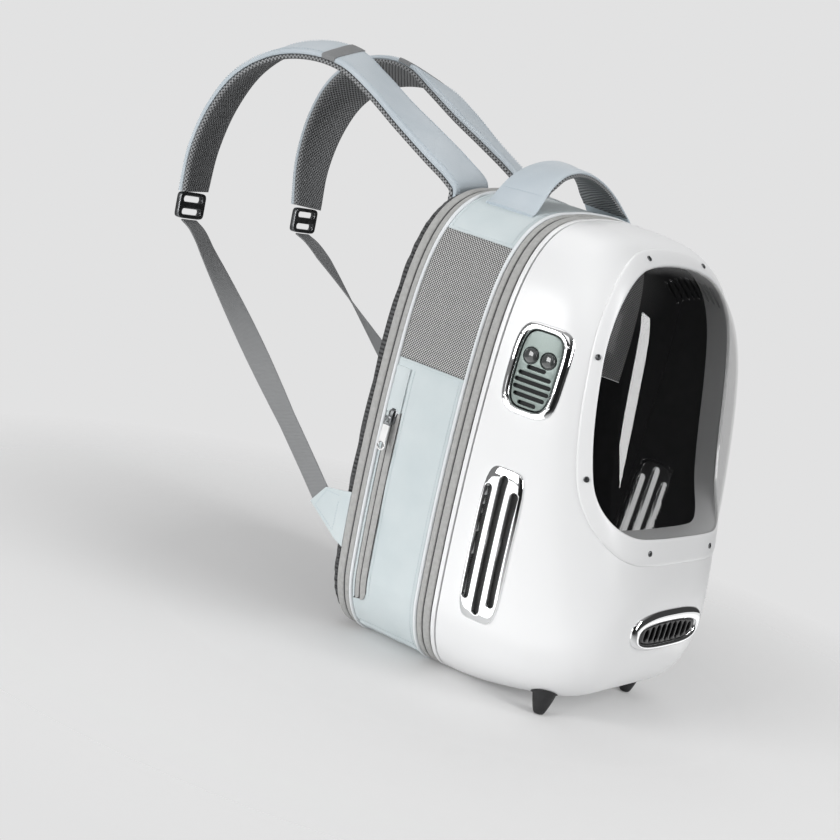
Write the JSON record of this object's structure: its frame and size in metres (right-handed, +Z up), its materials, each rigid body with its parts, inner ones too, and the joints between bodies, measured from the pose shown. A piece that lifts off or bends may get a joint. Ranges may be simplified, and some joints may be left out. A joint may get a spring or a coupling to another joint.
{
  "type": "pet carrier backpack",
  "caption": "Pet carrier backpack with a domed hard front, tinted bubble window, vents, push buttons, zipped soft gusset with mesh sides, carry handle and padded straps.",
  "frame": {"origin": "middle of the flat bottom of the gusset, on the surface that the pack stands on", "axes": "+Z up, -Y towards the window, +Y towards the wearer, -X the side with the push buttons"},
  "size_m": [0.322, 0.6056, 0.5314],
  "materials": {
    "shell": "gloss white moulded shell",
    "window": "smoke-tinted clear bubble",
    "chrome": "bright plated",
    "plate": "satin grey-green",
    "tape": "woven zip tape",
    "coil": "zip coil",
    "piping": "smooth piping",
    "cloth": "coated woven cloth",
    "strap": "coated woven cloth, padded",
    "mesh": "open net",
    "spacer": "spacer mesh",
    "rubber": "matt rubber",
    "webbing": "ribbed webbing",
    "grille": "matt black",
    "metal": "gunmetal"
  },
  "bodies": {
    "pack": {"front_shell": "shell", "window_frame": "shell", "shell_rim": "shell", "window": "window", "window_screw_1": "chrome", "window_screw_2": "chrome", "window_screw_3": "chrome", "window_screw_4": "chrome", "window_screw_5": "chrome", "window_screw_6": "chrome", "window_screw_7": "chrome", "window_screw_8": "chrome", "control_bezel": "chrome", "side_vent_left": "chrome", "side_vent_right": "chrome", "front_vent": "chrome", "control_plate": "plate", "front_tape_shell": "tape", "front_tape_gusset": "tape", "back_tape_gusset": "tape", "back_tape_panel": "tape", "pocket_tape": "tape", "front_coil": "coil", "back_coil": "coil", "piping_front": "piping", "piping_back": "piping", "gusset_top": "cloth", "gusset_lower": "cloth", "back_panel": "cloth", "webbing_tab_left": "cloth", "webbing_tab_right": "cloth", "handle_cover": "strap", "strap_cover_left": "strap", "strap_cover_right": "strap", "mesh_left": "mesh", "mesh_right": "mesh", "side_screen_left": "mesh", "side_screen_right": "mesh", "handle_lining": "spacer", "strap_mesh_left": "spacer", "strap_mesh_right": "spacer", "foot_left": "rubber", "foot_right": "rubber", "webbing_left": "webbing", "webbing_right": "webbing", "strap_band_left": "webbing", "strap_band_right": "webbing", "front_grille": "grille", "front_slider": "metal", "back_slider": "metal", "adjuster_left": "metal", "adjuster_right": "metal", "pocket_slider": "metal"},
    "fan_button": {"fan_button": "chrome"},
    "light_button": {"light_button": "chrome"},
    "pocket_puller": {"pocket_puller": "metal"}
  },
  "joints": [
    {"name": "fan_button_press", "type": "slide", "parent": "pack", "child": "fan_button", "axis": [1, 0, 0], "range_m": [0, 0.001], "stiffness_N_per_m": 900},
    {"name": "light_button_press", "type": "slide", "parent": "pack", "child": "light_button", "axis": [1, 0, 0], "range_m": [0, 0.001], "stiffness_N_per_m": 900},
    {"name": "pocket_puller_swing", "type": "hinge", "parent": "pack", "child": "pocket_puller", "pos_m": [-0.16015, 0.031, 0.218], "axis": [0, 1, 0], "range_deg": [-5, 140]}
  ]
}
